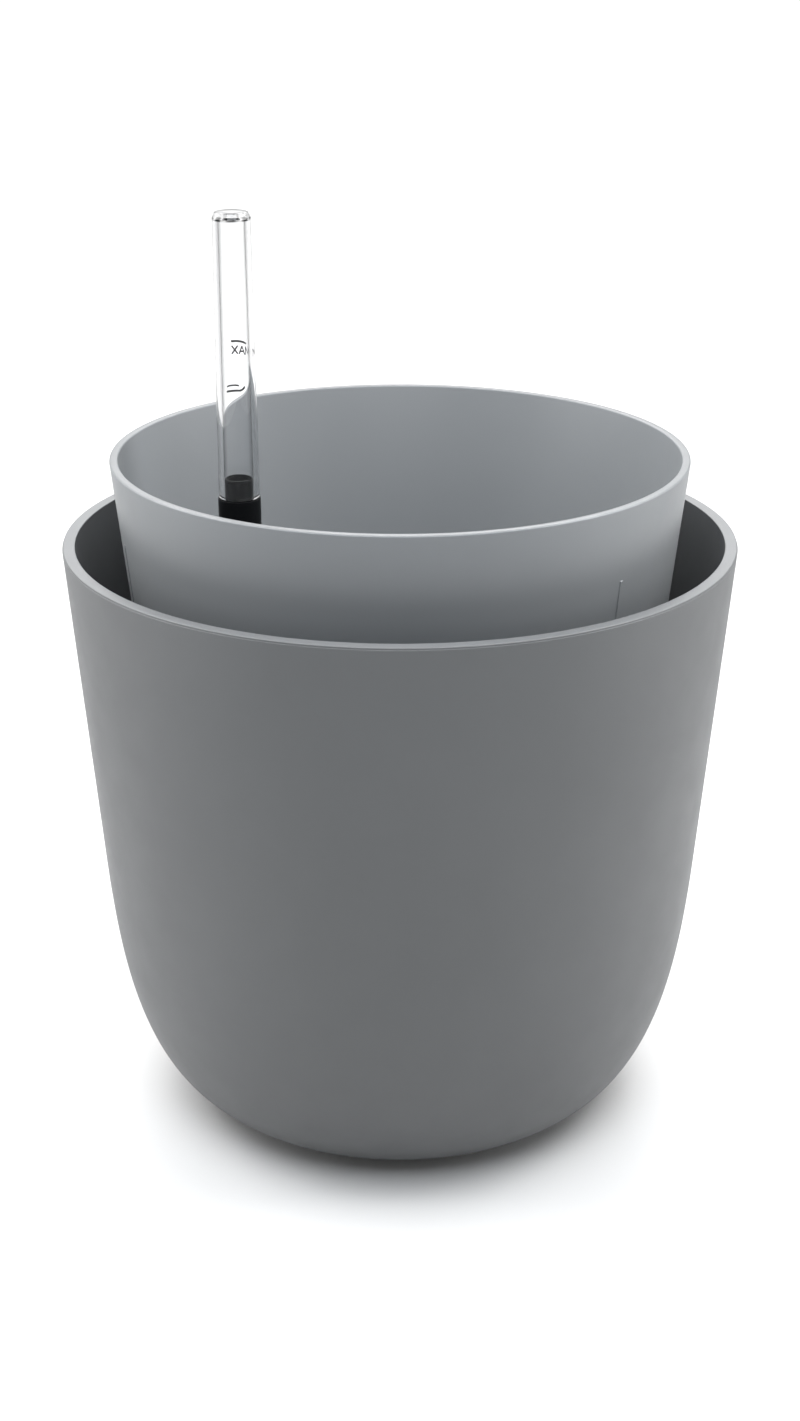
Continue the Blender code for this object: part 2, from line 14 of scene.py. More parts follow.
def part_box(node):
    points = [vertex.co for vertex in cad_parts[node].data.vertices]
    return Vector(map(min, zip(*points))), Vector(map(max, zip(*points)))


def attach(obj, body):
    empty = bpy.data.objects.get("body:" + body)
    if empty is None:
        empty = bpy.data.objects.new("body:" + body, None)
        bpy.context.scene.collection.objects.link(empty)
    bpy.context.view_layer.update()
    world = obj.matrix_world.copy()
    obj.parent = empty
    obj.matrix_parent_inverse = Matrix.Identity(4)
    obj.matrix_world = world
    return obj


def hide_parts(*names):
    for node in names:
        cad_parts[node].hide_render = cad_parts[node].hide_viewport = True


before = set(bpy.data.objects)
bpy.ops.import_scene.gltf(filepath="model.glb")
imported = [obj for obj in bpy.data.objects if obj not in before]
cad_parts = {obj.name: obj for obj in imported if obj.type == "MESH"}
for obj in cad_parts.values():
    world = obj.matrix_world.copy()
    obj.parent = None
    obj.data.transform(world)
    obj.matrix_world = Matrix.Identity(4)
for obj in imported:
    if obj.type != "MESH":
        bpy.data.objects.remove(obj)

LOG = logging.getLogger("self_watering_pot")
MM = 0.001
UP = math.pi / 2.0
Point = tuple[float, float]
Colour = tuple[float, float, float]
Stretch = tuple[float, float, float]
Socket = bpy.types.NodeSocket
NOISE_LOW = 0.3
NOISE_HIGH = 0.7
SHARP_DEG = 40.0
CUT_SHARP_DEG = 30.0
TUBE_SHARP_DEG = 20.0


class Body(Enum):
    """Bodies of the frame that the pieces ride on."""

    OUTER = "outer"
    INSERT = "insert"
    GAUGE = "gauge"
    FLOAT = "float"


class Slot(Enum):
    """Material slots of the record."""

    OUTER_GREY = "outer_grey"
    INSERT_GREY = "insert_grey"
    BLACK = "black_plastic"
    CLEAR = "clear_plastic"
    FLOAT = "float_white"
    ROD = "rod_red"


class Graph:
    """Small helper that lays out one material's nodes."""

    def __init__(self, name: str) -> None:
        """Start a material with a Principled shader and its output.

        Args:
            name: Name of the material.
        """
        self.material = bpy.data.materials.new(name)
        self.material.use_nodes = True
        self.nodes = self.material.node_tree.nodes
        self.links = self.material.node_tree.links
        self.shader = self.nodes["Principled BSDF"]

    def add(self, kind: str, **settings: object) -> bpy.types.Node:
        """Add a node and set its properties.

        Args:
            kind: Type name of the node.
            **settings: Properties of the node by name.

        Returns:
            The new node.
        """
        node = self.nodes.new(kind)
        for key, value in settings.items():
            setattr(node, key, value)
        return node

    def feed(self, socket: Socket, source: object) -> None:
        """Link a socket to another one, or set its value.

        Args:
            socket: Input that is fed.
            source: Output socket, number or colour.
        """
        if isinstance(source, Socket):
            self.links.new(source, socket)
        else:
            socket.default_value = source

    def place(self, scale: Sequence[float]) -> Socket:
        """Object coordinates, stretched.

        Args:
            scale: Factor along each axis.

        Returns:
            Vector output for a texture.
        """
        coordinates = self.add("ShaderNodeTexCoord")
        mapping = self.add("ShaderNodeMapping")
        mapping.inputs["Scale"].default_value = scale
        self.links.new(coordinates.outputs["Object"], mapping.inputs["Vector"])
        return mapping.outputs["Vector"]

    def noise(self, scale: float, detail: float, stretch: Sequence[float] = (1, 1, 1)) -> Socket:
        """Noise on the object's own coordinates.

        Args:
            scale: Cells per metre.
            detail: Octaves of finer noise.
            stretch: Factor along each axis before the scale.

        Returns:
            Value output between 0 and 1.
        """
        texture = self.add("ShaderNodeTexNoise")
        texture.inputs["Scale"].default_value = scale
        texture.inputs["Detail"].default_value = detail
        self.links.new(self.place(stretch), texture.inputs["Vector"])
        return texture.outputs["Fac"]

    def spread(self, value: Socket, low: float, high: float) -> Socket:
        """Map the middle of a noise to a range.

        Args:
            value: Noise between 0 and 1.
            low: Result for NOISE_LOW and less.
            high: Result for NOISE_HIGH and more.

        Returns:
            Mapped value output.
        """
        node = self.add("ShaderNodeMapRange")
        node.inputs["From Min"].default_value = NOISE_LOW
        node.inputs["From Max"].default_value = NOISE_HIGH
        node.inputs["To Min"].default_value = low
        node.inputs["To Max"].default_value = high
        self.links.new(value, node.inputs["Value"])
        return node.outputs["Result"]

    def blend(self, share: Socket, first: object, second: object) -> Socket:
        """Mix two colours by a share.

        Args:
            share: 0 gives the first colour, 1 the second.
            first: Linear colour, or a colour output.
            second: Linear colour, or a colour output.

        Returns:
            Colour output.
        """
        node = self.add("ShaderNodeMix", data_type="RGBA")
        self.links.new(share, node.inputs[0])
        for index, colour in ((6, first), (7, second)):
            self.feed(node.inputs[index], (*colour, 1.0) if isinstance(colour, tuple) else colour)
        return node.outputs[2]

    def above(self, bottom: float, top: float) -> Socket:
        """Share that rises from 0 to 1 between two heights of the object.

        Args:
            bottom: Height where it starts to rise.
            top: Height where it is 1.

        Returns:
            Value output.
        """
        coordinates = self.add("ShaderNodeTexCoord")
        axes = self.add("ShaderNodeSeparateXYZ")
        self.links.new(coordinates.outputs["Object"], axes.inputs[0])
        node = self.add("ShaderNodeMapRange")
        node.inputs["From Min"].default_value = bottom
        node.inputs["From Max"].default_value = top
        self.links.new(axes.outputs["Z"], node.inputs["Value"])
        return node.outputs["Result"]

    def bump(self, height: Socket, depth: float, after: Socket | None = None) -> Socket:
        """Bump from a height.

        Args:
            height: Height between 0 and 1.
            depth: Real depth in metres.
            after: Normal of an earlier bump, if any.

        Returns:
            Normal output.
        """
        node = self.add("ShaderNodeBump")
        node.inputs["Strength"].default_value = 1.0
        node.inputs["Distance"].default_value = depth
        self.links.new(height, node.inputs["Height"])
        if after is not None:
            self.links.new(after, node.inputs["Normal"])
        return node.outputs["Normal"]


def shade(colour: Colour, factor: float) -> Colour:
    """Colour made lighter or darker by a factor."""
    return tuple(min(1.0, channel * factor) for channel in colour)


@dataclass(frozen=True)
class MouldedPlastic:
    """Opaque moulded plastic: fine grain, clouding, uneven gloss, and a rim band of painted shading
    (lighter above a factor of 1, darker below).
    """

    name: str
    colour: Colour
    roughness: float
    specular: float = 0.5
    clouding: float = 0.03
    clouds_per_metre: float = 14.0
    cloud_stretch: Stretch = (1.0, 1.0, 0.6)
    uneven_gloss: float = 0.03
    gloss_per_metre: float = 60.0
    grain_per_metre: float = 2600.0
    grain_depth: float = 0.004 * MM
    flow_per_metre: float = 22.0
    flow_stretch: Stretch = (1.0, 1.0, 0.35)
    flow_depth: float = 0.02 * MM
    # Rim band of painted shading: its top height, its depth and its colour factor.
    rim_height: float | None = None
    rim_painted_shading_band: float = 0.3 * MM
    rim_painted_shading_gain: float = 1.0

    def material(self) -> bpy.types.Material:
        """Build the node material."""
        graph = Graph(self.name)
        cloud = graph.noise(self.clouds_per_metre, detail=3.0, stretch=self.cloud_stretch)
        dark = shade(self.colour, 1.0 - self.clouding)
        light = shade(self.colour, 1.0 + self.clouding)
        colour = graph.blend(graph.spread(cloud, 0.0, 1.0), dark, light)
        # Painted shading: the band just under the rim top is made lighter or darker by the factor,
        # standing in for how the light falls on the rim.
        if self.rim_height is not None:
            share = graph.above(self.rim_height - self.rim_painted_shading_band, self.rim_height)
            colour = graph.blend(share, colour, shade(self.colour, self.rim_painted_shading_gain))
        graph.feed(graph.shader.inputs["Base Color"], colour)
        gloss = graph.noise(self.gloss_per_metre, detail=4.0)
        uneven = self.uneven_gloss
        rough = graph.spread(gloss, self.roughness - uneven, self.roughness + uneven)
        graph.feed(graph.shader.inputs["Roughness"], rough)
        graph.feed(graph.shader.inputs["Specular IOR Level"], self.specular)
        waves = graph.noise(self.flow_per_metre, detail=2.0, stretch=self.flow_stretch)
        flow = graph.bump(waves, self.flow_depth)
        grain = graph.noise(self.grain_per_metre, detail=2.0)
        graph.feed(graph.shader.inputs["Normal"], graph.bump(grain, self.grain_depth, flow))
        return graph.material


@dataclass(frozen=True)
class ClearPlastic:
    """Polished clear plastic with real refraction, with painted shade in its tint where it is seen
    edge on.
    """

    name: str
    tint: Colour = (0.96, 0.964, 0.968)
    # Tint's factor at the edge-on view: painted shade.
    edge: float = 0.5
    edge_from: float = 0.4
    edge_to: float = 0.9
    roughness: float = 0.0
    ior: float = 1.49
    waves_per_metre: float = 120.0
    wave_stretch: Stretch = (1.0, 1.0, 0.15)
    wave_depth: float = 0.003 * MM

    def material(self) -> bpy.types.Material:
        """Build the node material."""
        graph = Graph(self.name)
        # Painted shade: the tint darkens towards the edge-on view, standing in for the dark edge
        # lines of the tube.
        weight = graph.add("ShaderNodeLayerWeight")
        grazing = graph.add("ShaderNodeMapRange")
        graph.feed(grazing.inputs["Value"], weight.outputs["Facing"])
        graph.feed(grazing.inputs["From Min"], self.edge_from)
        graph.feed(grazing.inputs["From Max"], self.edge_to)
        tint = graph.blend(grazing.outputs["Result"], self.tint, shade(self.tint, self.edge))
        graph.feed(graph.shader.inputs["Base Color"], tint)
        graph.feed(graph.shader.inputs["Roughness"], self.roughness)
        graph.feed(graph.shader.inputs["IOR"], self.ior)
        graph.feed(graph.shader.inputs["Transmission Weight"], 1.0)
        waves = graph.noise(self.waves_per_metre, detail=1.0, stretch=self.wave_stretch)
        graph.feed(graph.shader.inputs["Normal"], graph.bump(waves, self.wave_depth))
        return graph.material


@dataclass(frozen=True)
class FoamFinish:
    """Closed-cell foam of the float: dull, with packed bead marks."""

    name: str
    colour: Colour
    roughness: float = 0.85
    beads_per_metre: float = 420.0
    bead_depth: float = 0.25 * MM
    seam_shade: float = 0.86

    def material(self) -> bpy.types.Material:
        """Build the node material."""
        graph = Graph(self.name)
        beads = graph.add("ShaderNodeTexVoronoi")
        beads.inputs["Scale"].default_value = self.beads_per_metre
        graph.feed(beads.inputs["Vector"], graph.place((1, 1, 1)))
        edge = graph.spread(beads.outputs["Distance"], 1.0, 0.0)
        colour = graph.blend(edge, shade(self.colour, self.seam_shade), self.colour)
        graph.feed(graph.shader.inputs["Base Color"], colour)
        graph.feed(graph.shader.inputs["Roughness"], self.roughness)
        graph.feed(graph.shader.inputs["Normal"], graph.bump(edge, self.bead_depth))
        return graph.material


@dataclass(frozen=True)
class FloorFinish:
    """Seamless pale studio paper."""

    name: str
    colour: Colour
    roughness: float = 0.9
    specular: float = 0.1
    tooth_per_metre: float = 900.0
    tooth_shade: float = 0.995

    def material(self) -> bpy.types.Material:
        """Build the node material."""
        graph = Graph(self.name)
        tooth = graph.spread(graph.noise(self.tooth_per_metre, detail=2.0), 0.0, 1.0)
        paper = graph.blend(tooth, shade(self.colour, self.tooth_shade), self.colour)
        graph.feed(graph.shader.inputs["Base Color"], paper)
        graph.feed(graph.shader.inputs["Roughness"], self.roughness)
        graph.feed(graph.shader.inputs["Specular IOR Level"], self.specular)
        return graph.material


OUTER_RIM_TOP = 253.6 * MM
# The outer pot's rim top is painted lighter: painted light.
OUTER_FINISH = MouldedPlastic(
    "outer_wall_grey",
    (0.093, 0.0963, 0.0993),
    roughness=0.5,
    rim_height=OUTER_RIM_TOP,
    rim_painted_shading_gain=1.15,
)
INSERT_RIM_TOP = 288.9 * MM
# The inner pot's rim top is painted darker against the strong light from above: painted shade.
INSERT_FINISH = MouldedPlastic(
    "insert_wall_grey",
    (0.1625, 0.171, 0.178),
    roughness=0.42,
    clouding=0.02,
    rim_height=INSERT_RIM_TOP,
    rim_painted_shading_gain=0.55,
)
BLACK_FINISH = MouldedPlastic(
    "gauge_black",
    (0.0024, 0.0027, 0.0031),
    roughness=0.35,
    specular=0.06,
    flow_depth=0.008 * MM,
)
INK_FINISH = MouldedPlastic("mark_ink", (0.004, 0.004, 0.0045), roughness=0.5, specular=0.15)
ROD_FINISH = MouldedPlastic("rod_red", (0.5, 0.025, 0.018), roughness=0.35)
CLEAR_FINISH = ClearPlastic("tube_clear")
# Painted shade: the bore's wall turns nearly black edge on, drawing the dark bore lines.
BORE_FINISH = ClearPlastic("tube_bore", edge=0.02, edge_from=0.32, edge_to=0.78)
CROWN_FINISH = ClearPlastic("tube_crown", edge=1.0)
FOAM_FINISH = FoamFinish("float_foam", (0.78, 0.78, 0.76))
FLOOR_FINISH = FloorFinish("studio_paper", (0.63, 0.63, 0.63))


def arc(centre: Point, radius: float, start: float, end: float, steps: int) -> list[Point]:
    """Points of a circular arc in the (radius, height) plane.

    Args:
        centre: Centre of the arc.
        radius: Radius of the arc.
        start: First angle, from the outward direction.
        end: Last angle.
        steps: Number of chords.

    Returns:
        Points with both ends included.
    """
    points = []
    for step in range(steps + 1):
        angle = start + (end - start) * step / steps
        points.append((centre[0] + radius * math.cos(angle), centre[1] + radius * math.sin(angle)))
    return points


def even_azimuths(facets: int) -> list[float]:
    """Azimuths that divide a full turn evenly."""
    return [2.0 * math.pi * index / facets for index in range(facets)]


def turn(
    profile: Sequence[Point],
    azimuths: Sequence[float],
    raise_by: Callable[[float, float, float], float] | None = None,
) -> bmesh.types.BMesh:
    """Solid of revolution about Z, from a closed outline.

    Args:
        profile: Closed outline of (radius, height) points, counter-clockwise.
        azimuths: Rising azimuths of the columns.
        raise_by: Extra radius at (azimuth, radius, height), such as for a rib.

    Returns:
        Bmesh with one pole for each point on the axis.
    """
    bm = bmesh.new()
    rings = []
    for radius, height in profile:
        if radius <= 0.0:
            rings.append([bm.verts.new((0.0, 0.0, height))])
            continue
        ring = []
        for azimuth in azimuths:
            reach = radius + (raise_by(azimuth, radius, height) if raise_by else 0.0)
            point = (reach * math.cos(azimuth), reach * math.sin(azimuth), height)
            ring.append(bm.verts.new(point))
        rings.append(ring)
    count = len(azimuths)
    for index, ring in enumerate(rings):
        following = rings[(index + 1) % len(rings)]
        if len(ring) == 1 and len(following) == 1:
            continue
        for column in range(count):
            beside = (column + 1) % count
            if len(ring) == 1:
                corners = (ring[0], following[beside], following[column])
            elif len(following) == 1:
                corners = (ring[column], ring[beside], following[0])
            else:
                corners = (ring[column], ring[beside], following[beside], following[column])
            bm.faces.new(corners)
    bmesh.ops.recalc_face_normals(bm, faces=bm.faces)
    return bm


def add_piece(
    name: str, bm: bmesh.types.BMesh, finish: object, sharp_deg: float = SHARP_DEG
) -> bpy.types.Object:
    """Put a bmesh in the scene as a smooth-shaded piece.

    Args:
        name: Name of the piece.
        bm: Its shape, which is freed here.
        finish: Finish with a material method.
        sharp_deg: Edges that turn by more than this stay sharp.

    Returns:
        The new object.
    """
    mesh = bpy.data.meshes.new(name)
    bm.to_mesh(mesh)
    bm.free()
    mesh.shade_smooth()
    mesh.set_sharp_from_angle(angle=math.radians(sharp_deg))
    mesh.materials.append(finish.material())
    piece = bpy.data.objects.new(name, mesh)
    bpy.context.scene.collection.objects.link(piece)
    return piece


def settle(piece: bpy.types.Object, body: Body, slot: Slot, *nodes: str) -> None:
    """Give a piece its body, hide the CAD nodes that it stands for, and log it.

    Args:
        piece: The piece.
        body: Body that it rides on.
        slot: Material slot of the record; not used.
        *nodes: CAD nodes that it replaces.
    """
    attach(piece, body.value)
    if nodes:
        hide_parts(*nodes)
    LOG.info("%s rides on %s, %d faces", piece.name, body.value, len(piece.data.polygons))


def boolean(bm: bmesh.types.BMesh, tool: bmesh.types.BMesh, operation: str) -> bmesh.types.BMesh:
    """Join a tool to a shape or cut it out.

    Args:
        bm: The shape, which is freed here.
        tool: The tool, which is freed here.
        operation: UNION or DIFFERENCE.

    Returns:
        The result.
    """
    made = []
    for source in (bm, tool):
        mesh = bpy.data.meshes.new("working")
        source.to_mesh(mesh)
        source.free()
        obj = bpy.data.objects.new("working", mesh)
        bpy.context.scene.collection.objects.link(obj)
        made.append(obj)
    modifier = made[0].modifiers.new("cut", "BOOLEAN")
    modifier.operation = operation
    modifier.solver = "EXACT"
    modifier.object = made[1]
    graph = bpy.context.evaluated_depsgraph_get()
    result = bmesh.new()
    result.from_mesh(made[0].evaluated_get(graph).to_mesh())
    for obj in made:
        mesh = obj.data
        bpy.data.objects.remove(obj, do_unlink=True)
        bpy.data.meshes.remove(mesh)
    return result


def drill(
    bm: bmesh.types.BMesh, x: float, y: float, radius: float, bottom: float, top: float, facets: int
) -> None:
    """Add an upright cylinder to a bmesh.

    Args:
        bm: Bmesh that it is added to.
        x: Axis, X.
        y: Axis, Y.
        radius: Radius of the cylinder.
        bottom: Height of its lower end.
        top: Height of its upper end.
        facets: Sides round it.
    """
    bmesh.ops.create_cone(
        bm,
        cap_ends=True,
        segments=facets,
        radius1=radius,
        radius2=radius,
        depth=top - bottom,
        matrix=Matrix.Translation((x, y, (bottom + top) / 2.0)),
    )


@dataclass
class OuterPot:
    """Bowl-shaped outer pot that holds the water."""

    wall: float = 5.2 * MM
    floor_top: float = 7.5 * MM
    taper: float = math.radians(4.385)
    bend_height: float = 128.0 * MM
    bend_reach: float = 48.4 * MM
    foot_radius: float = 74.0 * MM
    foot_rise: float = math.radians(3.74)
    foot_reach: float = 48.8 * MM
    ring_width: float = 6.0 * MM
    ring_height: float = 3.0 * MM
    rim_round: float = 0.4 * MM
    ledge_width: float = 0.25 * MM
    ledge_drop: float = 0.8 * MM
    foot_round: float = 0.8 * MM
    bowl_steps: int = 44
    round_steps: int = 6
    facets: int = 256

    def __post_init__(self) -> None:
        """Read the overall size from the frame."""
        _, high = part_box("outer_pot")
        self.rim_radius: float = high.x
        self.height: float = high.z

    def curve(self) -> list[tuple[Vector, Vector, float]]:
        """Bowl from the foot up to the bend, each point with its inward normal and its share."""
        bend_radius = self.rim_radius - (self.height - self.bend_height) * math.tan(self.taper)
        foot = Vector((self.foot_radius, 0.0))
        bend = Vector((bend_radius, self.bend_height))
        low = foot + self.foot_reach * Vector((math.cos(self.foot_rise), math.sin(self.foot_rise)))
        high = bend - self.bend_reach * Vector((math.sin(self.taper), math.cos(self.taper)))
        points = []
        for step in range(self.bowl_steps + 1):
            t = step / self.bowl_steps
            u = 1.0 - t
            point = u**3 * foot + 3 * u * u * t * low + 3 * u * t * t * high + t**3 * bend
            slope = u * u * (low - foot) + 2.0 * u * t * (high - low) + t * t * (bend - high)
            slope.normalize()
            points.append((point, Vector((-slope.y, slope.x)), t))
        return points

    def profile(self) -> list[Point]:
        """Outline from the centre of the underside, round the rim, to the inside floor."""
        curve = self.curve()
        rim = self.rim_radius
        edge = self.rim_round
        ring_inside = self.foot_radius - self.ring_width
        points = [(0.0, self.ring_height), (ring_inside - self.ring_height / 2.0, self.ring_height)]
        points += [(ring_inside, 0.0), (self.foot_radius - self.foot_round, 0.0)]
        points += [(point.x, point.y) for point, _, _ in curve[1:]]
        ledge = self.ledge_width
        ledge_centre = (rim - ledge, self.height - self.ledge_drop - ledge)
        points += arc(ledge_centre, ledge, 0.0, UP, self.round_steps)
        points += arc((rim - ledge - edge, self.height - edge), edge, 0.0, UP, self.round_steps)
        inner = rim - self.wall / math.cos(self.taper) + edge
        points += arc((inner, self.height - edge), edge, UP, math.pi, self.round_steps)
        for point, normal, share in reversed(curve):
            inside = point + (self.floor_top + (self.wall - self.floor_top) * share) * normal
            points.append((inside.x, max(inside.y, self.floor_top)))
        points.append((0.0, self.floor_top))
        return points

    def build(self) -> None:
        """Make the pot and settle it."""
        bm = turn(self.profile(), even_azimuths(self.facets))
        piece = add_piece("outer_pot_shell", bm, OUTER_FINISH)
        settle(piece, Body.OUTER, Slot.OUTER_GREY, "outer_pot")


@dataclass
class InnerPot:
    """Tapered inner pot, with its floor holes, gauge boss and stacking ribs."""

    wall: float = 3.45 * MM
    floor: float = 3.0 * MM
    taper: float = math.radians(5.867)
    corner: float = 22.0 * MM
    rim_round: float = 0.7 * MM
    rib_count: int = 3
    rib_first: float = math.radians(-43.0)
    rib_below_rim: float = 30.4 * MM
    rib_length: float = 70.0 * MM
    rib_width: float = 1.3 * MM
    rib_height: float = 0.35 * MM
    rib_flank: float = 0.25 * MM
    rib_slack: float = 1.01
    gauge_radius: float = 66.8 * MM
    gauge_hole: float = 9.17 * MM
    boss_wall: float = 2.4 * MM
    boss_height: float = 8.0 * MM
    cup_count: int = 3
    cup_pitch: float = 48.0 * MM
    cup_hole: float = 16.3 * MM
    drain_radius: float = 2.2 * MM
    drain_ring: float = 14.0 * MM
    drain_count: int = 6
    drain_first: float = math.radians(30.0)
    drain_facets: int = 20
    slot_width: float = 3.2 * MM
    slot_length: float = 26.0 * MM
    slot_pitch: float = 9.0 * MM
    slot_radius: float = 50.0 * MM
    corner_steps: int = 14
    round_steps: int = 5
    facets: int = 240
    hole_facets: int = 48

    def __post_init__(self) -> None:
        """Read the overall size from the frame."""
        low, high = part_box("inner_pot")
        self.rim_radius: float = high.x
        self.top: float = high.z
        self.underside: float = low.z

    def outside(self, height: float) -> float:
        """Outside radius of the straight wall at a height."""
        return self.rim_radius - (self.top - height) * math.tan(self.taper)

    def profile(self) -> list[Point]:
        """Outline from the centre of the underside, round the rim, to the inside floor."""
        edge = self.rim_round
        drop = self.corner * math.tan((UP - self.taper) / 2.0)
        centre = (self.outside(self.underside) - drop, self.underside + self.corner)
        points = [(0.0, self.underside)]
        points += arc(centre, self.corner, -UP, -self.taper, self.corner_steps)
        for height in self.rib_heights():
            points.append((self.outside(height), height))
        points += arc((self.rim_radius - edge, self.top - edge), edge, 0.0, UP, self.round_steps)
        inner = self.rim_radius - self.wall / math.cos(self.taper) + edge
        points += arc((inner, self.top - edge), edge, UP, math.pi, self.round_steps)
        inside = arc(centre, self.corner - self.wall, -self.taper, -UP, self.corner_steps)
        floor_top = self.underside + self.floor
        points += [(radius, max(height, floor_top)) for radius, height in inside]
        points.append((0.0, floor_top))
        return points

    def rib_heights(self) -> list[float]:
        """Heights at which a rib starts, stands full, and ends, going up."""
        top = self.top - self.rib_below_rim
        bottom = top - self.rib_length
        return [bottom - self.rib_height, bottom, top, top + self.rib_flank]

    def rib_azimuths(self) -> list[float]:
        """Azimuths of the ribs, each between 0 and a full turn."""
        full = 2.0 * math.pi
        steps = range(self.rib_count)
        return [(self.rib_first + full * index / self.rib_count) % full for index in steps]

    def azimuths(self) -> list[float]:
        """Columns of the wall, with four more at each rib."""
        half = self.rib_width / 2.0 / self.rim_radius
        flank = self.rib_flank / self.rim_radius
        spacing = 2.0 * math.pi / self.facets
        ribs = self.rib_azimuths()
        columns = []
        for azimuth in even_azimuths(self.facets):
            if all(abs(azimuth - rib) > spacing / 2.0 for rib in ribs):
                columns.append(azimuth)
        for rib in ribs:
            columns += [rib - half - flank, rib - half, rib + half, rib + half + flank]
        return sorted(columns)

    def rib_raise(self, azimuth: float, radius: float, height: float) -> float:
        """Extra radius of the outside wall on a rib.

        Args:
            azimuth: Azimuth of the point.
            radius: Radius of the bare wall there.
            height: Height of the point.

        Returns:
            Rib's height above the wall, or zero off the ribs.
        """
        _, bottom, top, _ = self.rib_heights()
        half = self.rib_width / 2.0 / self.rim_radius
        near_outside = self.wall / 4.0
        on_outside = abs(radius - self.outside(height)) < near_outside
        reach = self.rib_slack * half
        on_rib = any(abs(azimuth - rib) < reach for rib in self.rib_azimuths())
        return self.rib_height if on_outside and on_rib and bottom <= height <= top else 0.0

    def boss(self) -> bmesh.types.BMesh:
        """Boss on the floor that the gauge stands in."""
        bm = bmesh.new()
        middle = self.underside + self.floor / 2.0
        top = self.underside + self.floor + self.boss_height
        radius = self.gauge_hole + self.boss_wall
        drill(bm, -self.gauge_radius, 0.0, radius, middle, top, self.hole_facets)
        return bm

    def holes(self) -> bmesh.types.BMesh:
        """Holes through the floor: the gauge's, the cups' and the drains."""
        bottom = self.underside - self.floor
        top = self.underside + 2.0 * self.floor
        boss_top = top + self.boss_height
        bm = bmesh.new()
        drill(bm, -self.gauge_radius, 0.0, self.gauge_hole, bottom, boss_top, self.hole_facets)
        turn_step = 2.0 * math.pi / self.cup_count
        for index in range(self.cup_count):
            azimuth = math.pi + turn_step * (index + 0.5)
            x, y = self.cup_pitch * math.cos(azimuth), self.cup_pitch * math.sin(azimuth)
            drill(bm, x, y, self.cup_hole, bottom, top, self.hole_facets)
        drill(bm, 0.0, 0.0, self.drain_radius, bottom, top, self.drain_facets)
        for index in range(self.drain_count):
            azimuth = self.drain_first + 2.0 * math.pi * index / self.drain_count
            x, y = self.drain_ring * math.cos(azimuth), self.drain_ring * math.sin(azimuth)
            drill(bm, x, y, self.drain_radius, bottom, top, self.drain_facets)
        for index in range(1, self.cup_count):
            azimuth = math.pi + turn_step * index
            for side in (-1, 0, 1):
                place = (self.slot_radius, side * self.slot_pitch, (bottom + top) / 2.0)
                matrix = (
                    Matrix.Rotation(azimuth, 4, "Z")
                    @ Matrix.Translation(place)
                    @ Matrix.Diagonal((self.slot_length, self.slot_width, top - bottom, 1.0))
                )
                bmesh.ops.create_cube(bm, size=1.0, matrix=matrix)
        return bm

    def build(self) -> None:
        """Make the pot and settle it."""
        bm = turn(self.profile(), self.azimuths(), self.rib_raise)
        bm = boolean(bm, self.boss(), "UNION")
        bm = boolean(bm, self.holes(), "DIFFERENCE")
        piece = add_piece("inner_pot_shell", bm, INSERT_FINISH, CUT_SHARP_DEG)
        settle(piece, Body.INSERT, Slot.INSERT_GREY, "inner_pot")


